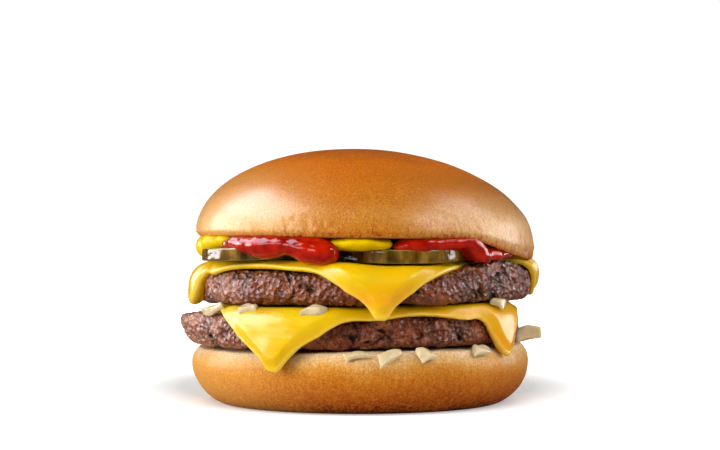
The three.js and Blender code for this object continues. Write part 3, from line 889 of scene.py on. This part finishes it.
def make_pickle(name, spec, material):
    bevel = 0.0005
    thick = spec["thick"]
    rows = [(PICKLE_RADIUS * share, 0) for share in (0, 0.4, 0.75, 0.92)]
    for i in range(5):
        turn = math.pi / 2 * i / 4
        rows.append((PICKLE_RADIUS - bevel + bevel * math.sin(turn), bevel - bevel * math.cos(turn)))
    rows += [(PICKLE_RADIUS, bevel + (thick - 2 * bevel) * i / 6) for i in range(1, 6)]
    rows += [(radius, thick - height) for radius, height in reversed(rows[:9])]
    tilt = math.tan(math.radians(spec["tilt"]))

    def rind(row):
        return smooth(row[0], PICKLE_RADIUS - bevel, PICKLE_RADIUS)

    def place(row, azimuth):
        radius, height = row
        wave = 1 + 0.012 * math.sin(math.radians(3 * azimuth) + spec["x"] * 1000)
        point = polar(radius * wave, azimuth, height)
        point.z += FILLING_LOW + spec["raised"] + tilt * point.y
        point.x += spec["x"]
        point.y += spec["y"]
        return settle(point)

    def pimples(point, normal):
        wall = 1 - abs(normal.z)
        ridges = 0.00018 * grain(Vector((point.x, point.y, point.z / 3)), 0.0030, 3)
        return wall * (ridges + 0.00010 * grain(point, 0.0014, 5)) - 0.0001

    pickle = grown(name.replace("pickle", "gherkin"), rows, 260, place, ("skin", rind))
    sculpt(pickle, pimples)
    dress(pickle, material, "pickle", name)


# ---- sauces ----

# Each dollop: azimuth, distance from the axis, height, then length, depth and half height
KETCHUP_DOLLOPS = (
    (-52.2, 0.0434, 0.0458, 0.0034, 0.0034, 0.0013),
    (-46.4, 0.0438, 0.0461, 0.0040, 0.0040, 0.0021),
    (-41.0, 0.0441, 0.0456, 0.0042, 0.0042, 0.0026),
    (-35.7, 0.0443, 0.0451, 0.0040, 0.0044, 0.0031),
    (-31.1, 0.0443, 0.0451, 0.0040, 0.0044, 0.0030),
    (-26.4, 0.0442, 0.0455, 0.0038, 0.0042, 0.0026),
    (-21.8, 0.0442, 0.0450, 0.0036, 0.0042, 0.0028),
    (-17.7, 0.0444, 0.0441, 0.0034, 0.0044, 0.0036),
    (-13.8, 0.0446, 0.0435, 0.0034, 0.0044, 0.0037),
    (-10.4, 0.0444, 0.0431, 0.0026, 0.0042, 0.0030),
    (14.9, 0.0425, 0.0443, 0.0026, 0.0036, 0.0016),
    (17.8, 0.0434, 0.0448, 0.0034, 0.0040, 0.0022),
    (22.1, 0.0438, 0.0448, 0.0040, 0.0042, 0.0024),
    (26.9, 0.0440, 0.0451, 0.0040, 0.0042, 0.0021),
    (31.6, 0.0441, 0.0453, 0.0040, 0.0042, 0.0020),
    (36.1, 0.0443, 0.0454, 0.0038, 0.0044, 0.0021),
    (39.9, 0.0444, 0.0450, 0.0032, 0.0044, 0.0026),
    (43.2, 0.0450, 0.0424, 0.0030, 0.0042, 0.0032),
    (45.0, 0.0450, 0.0411, 0.0024, 0.0038, 0.0022),
    (51.6, 0.0446, 0.0421, 0.0042, 0.0038, 0.0020),
    (58.9, 0.0444, 0.0422, 0.0044, 0.0036, 0.0017),
    (66.6, 0.0440, 0.0422, 0.0034, 0.0032, 0.0013),
    (104.0, 0.0415, 0.0430, 0.0048, 0.0040, 0.0016),
    (112.0, 0.0425, 0.0432, 0.0052, 0.0042, 0.0020),
    (121.0, 0.0430, 0.0435, 0.0056, 0.0044, 0.0024),
    (131.0, 0.0434, 0.0436, 0.0056, 0.0044, 0.0025),
    (141.0, 0.0430, 0.0438, 0.0052, 0.0044, 0.0022),
    (205.0, 0.0425, 0.0440, 0.0050, 0.0044, 0.0022),
    (214.0, 0.0434, 0.0437, 0.0056, 0.0044, 0.0027),
    (224.0, 0.0436, 0.0434, 0.0056, 0.0046, 0.0029),
    (234.0, 0.0432, 0.0437, 0.0054, 0.0044, 0.0026),
    (243.0, 0.0424, 0.0440, 0.0050, 0.0042, 0.0020),
)
MUSTARD_DOLLOPS = {
    "mustard_left": ((-56, 0.0432, 0.0468, 0.0046, 0.0040, 0.0017),
                     (-66, 0.0432, 0.0463, 0.0052, 0.0044, 0.0027),
                     (-77, 0.0428, 0.0454, 0.0056, 0.0044, 0.0034),
                     (-86, 0.0424, 0.0446, 0.0044, 0.0040, 0.0026)),
    "mustard_front": ((-8.4, 0.0395, 0.0452, 0.0040, 0.0068, 0.0015),
                      (-2.9, 0.0402, 0.0453, 0.0044, 0.0072, 0.0017),
                      (2.2, 0.0404, 0.0452, 0.0044, 0.0072, 0.0017),
                      (7.2, 0.0400, 0.0450, 0.0036, 0.0066, 0.0015)),
    "mustard_right": ((72, 0.0446, 0.0407, 0.0050, 0.0034, 0.0016),
                      (80, 0.0446, 0.0407, 0.0050, 0.0034, 0.0016)),
    "mustard_back": ((167, 0.0420, 0.0444, 0.0062, 0.0056, 0.0020),
                     (177, 0.0420, 0.0445, 0.0062, 0.0058, 0.0021)),
}

# What smoothing takes off a dollop's half size
SOFTENED = 0.0004
SAUCE_VOXEL = 0.00042
SAUCE_CORE_DEPTH = 0.0058
SAUCE_CORE_HEIGHT = 0.0441

# How much higher a sauce may swell where it is outside the crown's rim
SAUCE_SWELL = 0.003


def squeezed(point):
    """Keeps a sauce's surface between the cheese below it and the crown above it."""
    low = upper_slice_top(point.x, point.y) + GAP
    high = crown_underside(point.x, point.y) + 0.0002
    outside = smooth(point.xy.length, BUN_RADIUS - 0.0022, BUN_RADIUS - 0.0004)
    high += SAUCE_SWELL * outside
    point.z = min(max(point.z, low), max(high, low + 0.0002))
    return point


def make_sauce(name, dollops, material, slot, node, ripples, core=None):
    """Balls pressed out under the crown, joined by a remesh and smoothed to one sauce.

    core is the radius of a round layer that joins them inside.
    """
    bpy.ops.object.select_all(action="DESELECT")
    balls = []
    for azimuth, distance, height, length, depth, half in dollops:
        bpy.ops.mesh.primitive_uv_sphere_add(
            segments=32, ring_count=20, radius=1,
            location=settle(polar(distance, azimuth, height)),
            rotation=(0, 0, math.radians(azimuth)),
            scale=(length + SOFTENED, depth, half + SOFTENED),
        )
        balls.append(bpy.context.object)
    if core:
        bpy.ops.mesh.primitive_cylinder_add(
            vertices=96, radius=core, depth=SAUCE_CORE_DEPTH,
            location=(0, 0, SAUCE_CORE_HEIGHT),
        )
        balls.append(bpy.context.object)
    for ball in balls:
        ball.select_set(True)
    bpy.ops.object.join()
    sauce = bpy.context.object
    sauce.name = name
    bpy.ops.object.transform_apply(location=True, rotation=True, scale=True)
    apply_modifier(sauce, "REMESH", mode="VOXEL", voxel_size=SAUCE_VOXEL)
    apply_modifier(sauce, "SMOOTH", factor=0.8, iterations=45)

    def ripple(point, _):
        return ripples * (grain(point, 0.0036, 2) + 0.3 * grain(point, 0.0016, 4))

    sculpt(sauce, ripple)
    for vertex in sauce.data.vertices:
        vertex.co = squeezed(vertex.co.copy())
    apply_modifier(sauce, "SMOOTH", factor=0.5, iterations=9)
    sauce.data.shade_smooth()
    dress(sauce, material, slot, node)


# ---- onion ----

# Onion: place, then length round the rim, width, thickness, turn in its plane, outward tip
ONION_ON_CHEESE = (
    (-56, 0.0474, 0.0287, (0.0024, 0.0070, 0.0018), -30, 24),
    (-39, 0.0466, 0.0290, (0.0052, 0.0036, 0.0022), 6, 14),
    (-15, 0.0467, 0.0286, (0.0054, 0.0038, 0.0021), -8, 20),
    (53, 0.0469, 0.0295, (0.0048, 0.0036, 0.0020), 10, 12),
    (118, 0.0466, 0.0292, (0.0056, 0.0034, 0.0020), 16, 16),
    (168, 0.0458, 0.0290, (0.0046, 0.0036, 0.0021), -14, 14),
    (222, 0.0462, 0.0289, (0.0058, 0.0034, 0.0019), 8, 18),
)
ONION_ON_BUN = (
    (-1, 0.0470, 0.0170, (0.0068, 0.0026, 0.0011), 2, 30),
    (9.5, 0.0477, 0.0166, (0.0068, 0.0039, 0.0012), 20, 46),
    (21, 0.0476, 0.0167, (0.0043, 0.0042, 0.0015), -4, 46),
    (43, 0.0473, 0.0170, (0.0056, 0.0039, 0.0014), -16, 44),
    (85, 0.0470, 0.0198, (0.0076, 0.0046, 0.0036), -90, -10),
    (126, 0.0472, 0.0168, (0.0062, 0.0040, 0.0012), -10, 46),
    (151, 0.0474, 0.0166, (0.0046, 0.0046, 0.0013), 14, 48),
    (189, 0.0472, 0.0168, (0.0064, 0.0040, 0.0012), -6, 46),
    (214, 0.0475, 0.0165, (0.0048, 0.0044, 0.0013), 10, 50),
    (240, 0.0474, 0.0166, (0.0054, 0.0042, 0.0012), -14, 48),
)
ONION_SLANT = 0.0008
ONION_END_SLANT = 0.0010
ONION_BOW = 0.0016
ONION_DENTS = 0.0008
ONION_DENT_SIZE = 0.0024


def make_onion(index, spec, material):
    """A bowed, tapered sliver of chopped onion, tipped outwards over what it lies on."""
    azimuth, distance, height, (length, width, thick), turn, tip = spec
    bpy.ops.object.select_all(action="DESELECT")
    bpy.ops.mesh.primitive_cube_add(size=1)
    piece = bpy.context.object
    piece.name = f"chopped_onion_{index:02d}"
    edit(piece)
    bpy.ops.transform.resize(value=(length, width, thick))
    bpy.ops.mesh.bevel(offset=thick * 0.3, segments=3, affect="EDGES")
    bpy.ops.mesh.subdivide(number_cuts=3)
    done()
    taper_by = 0.3 + 0.5 * abs(noise.noise(Vector((index * 3.7, 0, 0))))
    for vertex in piece.data.vertices:
        along = vertex.co.x / length
        across = vertex.co.y / width
        taper = 1 - taper_by * (0.5 + along)
        vertex.co.y = vertex.co.y * taper + ONION_SLANT * along
        vertex.co.x += ONION_END_SLANT * across * (1 if index % 2 else -1)
        vertex.co.z = vertex.co.z * (1 - 0.35 * taper_by * across) - ONION_BOW * along * along
        dents = noise.noise_vector(vertex.co / ONION_DENT_SIZE + Vector((index, 0, 0)))
        vertex.co += ONION_DENTS * dents
    lay = (Matrix.Translation(settle(polar(distance, azimuth, height)))
           @ Matrix.Rotation(math.radians(azimuth), 4, "Z")
           @ Matrix.Rotation(math.radians(tip), 4, "X")
           @ Matrix.Rotation(math.radians(turn), 4, "Z"))
    piece.data.transform(lay)
    apply_modifier(piece, "SUBSURF", levels=1, render_levels=1)
    piece.data.shade_smooth()
    dress(piece, material, "onion", f"onion_{index:02d}")


# ---- camera, light and floor ----

CAMERA_PLACE = (0, -0.4845, 0.0445)
CAMERA_TILT = 90.674

# Softboxes: place, width and height, power, colour, and whether they light or only gleam
SOFTBOXES = {
    "key_left": ((-0.76, -0.36, 0.26), (0.5, 0.5), 7.3, (1.0, 0.98, 0.95), "light"),
    "key_right": ((0.66, -0.30, 0.36), (0.5, 0.5), 2.8, (1.0, 0.97, 0.94), "light"),
    "front_fill": ((0.0, -0.80, 0.95), (1.0, 0.6), 5.6, (1.0, 1.0, 0.98), "light"),
    "back_fill": ((0.1, 0.90, 0.45), (0.9, 0.5), 4.0, (1.0, 0.99, 0.97), "light"),
    "softbox_left": ((-0.82, 0.20, 0.13), (0.62, 0.42), 8.6, (0.97, 0.98, 1.0), "gleam"),
    "softbox_right": ((0.82, 0.20, 0.13), (0.60, 0.42), 6.4, (0.95, 0.96, 1.0), "gleam"),
    "hood_left": ((-0.66, 0.0, 0.60), (0.96, 0.52), 14.6, (0.83, 0.88, 1.0), "gleam"),
    "hood_right": ((0.66, 0.08, 0.56), (0.46, 0.56), 3.3, (0.92, 0.93, 1.0), "gleam"),
    "window_right": ((0.54, -0.4, 0.54), (0.26, 0.26), 1.7, (0.94, 0.95, 1.0), "gleam"),
    "strip_left": ((-0.68, -0.50, 0.25), (0.62, 0.15), 1.9, (0.97, 0.98, 1.0), "gleam"),
}
LAMPS_AIM = Vector((0, 0, 0.035))

# The background's strength for the light it gives, for its reflections and for the camera
BACKDROP_LIGHT = 0.14
BACKDROP_GLEAM = 0.02
BACKDROP_SEEN = 1.1

# The paper's painted shadow: its glow for the camera is weak in an oval round the burger, cut off
# behind it, and clear white beyond
SHADE_SHIFT = (0.001, -0.043, 0)
SHADE_SCALE = (1, 0.63, 1)
SHADE_INNER = 0.056
SHADE_OUTER = 0.088
SHADE_BACK = (0.095, 0.135)
SHADE_GLOW = 0.12


def make_camera():
    bpy.ops.object.camera_add(location=CAMERA_PLACE)
    camera = bpy.context.object
    camera.rotation_euler = (math.radians(CAMERA_TILT), 0, 0)
    camera.data.lens = 85
    camera.data.sensor_width = 36
    camera.data.clip_start = 0.01
    bpy.context.scene.camera = camera


def make_softbox(name, place, size, power, colour, use):
    """A rectangular lamp turned to the burger, which either lights it or gleams on it."""
    bpy.ops.object.light_add(type="AREA", location=place)
    lamp = bpy.context.object
    lamp.name = name
    lamp.rotation_euler = (LAMPS_AIM - Vector(place)).to_track_quat("-Z", "Y").to_euler()
    lamp.data.shape = "RECTANGLE"
    lamp.data.size, lamp.data.size_y = size
    lamp.data.energy = power
    lamp.data.color = colour
    lamp.visible_glossy = use == "gleam"
    lamp.visible_diffuse = use == "light"


def make_studio():
    for name, settings in SOFTBOXES.items():
        make_softbox(name, *settings)
    make_floor()
    make_backdrop()
    bpy.context.scene.view_settings.view_transform = "Standard"


def make_floor():
    """Pale paper that glows to a clear white for the camera away from the burger, with a painted
    shadow of weaker glow round and behind it, and is darker in reflections.
    """
    bpy.ops.mesh.primitive_plane_add(size=6)
    floor = bpy.context.object
    floor.name = "floor"
    paper = Finish("white_paper")
    rays = paper.add("ShaderNodeLightPath").outputs
    round_burger = paper.add("ShaderNodeMapping", paper.place)
    round_burger.inputs["Location"].default_value = SHADE_SHIFT
    round_burger.inputs["Scale"].default_value = SHADE_SCALE
    away = paper.add("ShaderNodeVectorMath", round_burger.outputs[0], operation="LENGTH")
    # Painted shadow and glow: the paper emits light for the camera, weakly in the oval round the
    # burger and fully beyond and far behind it
    around = paper.span(away.outputs["Value"], SHADE_INNER, SHADE_OUTER, SHADE_GLOW, 1.0)
    behind = paper.span(paper.axes["Y"], *SHADE_BACK)
    clear = paper.math("MAXIMUM", around, behind)
    paper.shade(
        Base_Color=paper.blend(rays["Is Glossy Ray"], (0.8, 0.8, 0.8, 1), (0.2, 0.2, 0.2, 1)),
        Roughness=0.9,
        Specular_IOR_Level=0.0,
        Emission_Color=(1, 1, 1, 1),
        Emission_Strength=paper.math("MULTIPLY", clear, rays["Is Camera Ray"]),
    )
    floor.data.materials.append(paper.material)


def make_backdrop():
    """A white background that gives the burger only a little light of its own."""
    world = bpy.data.worlds.new("studio")
    bpy.context.scene.world = world
    world.use_nodes = True
    nodes, links = world.node_tree.nodes, world.node_tree.links
    rays = nodes.new("ShaderNodeLightPath").outputs
    unseen = nodes.new("ShaderNodeMapRange")
    unseen.inputs["To Min"].default_value = BACKDROP_LIGHT
    unseen.inputs["To Max"].default_value = BACKDROP_GLEAM
    level = nodes.new("ShaderNodeMapRange")
    level.inputs["To Max"].default_value = BACKDROP_SEEN
    links.new(rays["Is Glossy Ray"], unseen.inputs["Value"])
    links.new(rays["Is Camera Ray"], level.inputs["Value"])
    links.new(unseen.outputs["Result"], level.inputs["To Min"])
    links.new(level.outputs["Result"], nodes["Background"].inputs["Strength"])
    nodes["Background"].inputs["Color"].default_value = (1, 1, 1, 1)


# ---- making ----

make_camera()
make_studio()

crown_crust = crust_finish("crown_crust", CROWN_CRUST)
heel_crust = crust_finish("heel_crust", HEEL_CRUST)
beef = beef_finish()
cheese = cheese_finish()
gherkin = pickle_finish()
tomato = sauce_finish("tomato_sauce", (136, 8, 1), (184, 28, 1), 0.04, 0.38, (1.0, 0.1, 0.05))
mustard = sauce_finish("yellow_mustard", (208, 174, 0), (226, 194, 3), 0.12, 0.06, (1.0, 0.8, 0.05))
onion = onion_finish()

make_heel(heel_crust)
make_patty("patty_lower", LOWER_PATTY, 20, beef)
make_cheese("cheese_lower", LOWER_SLICE, cheese)
make_patty("patty_upper", UPPER_PATTY, 50, beef)
make_cheese("cheese_upper", UPPER_SLICE, cheese)
for pickle_name, pickle_spec in PICKLES.items():
    make_pickle(pickle_name, pickle_spec, gherkin)
make_sauce("tomato_sauce", KETCHUP_DOLLOPS, tomato, "ketchup", "ketchup", 0.0003, core=0.033)
for blob_name, blob_dollops in MUSTARD_DOLLOPS.items():
    make_sauce(blob_name + "_blob", blob_dollops, mustard, "mustard", blob_name, 0.0002)
make_crown(crown_crust)
for number, sliver in enumerate(ONION_ON_CHEESE + ONION_ON_BUN, start=1):
    make_onion(number, sliver, onion)
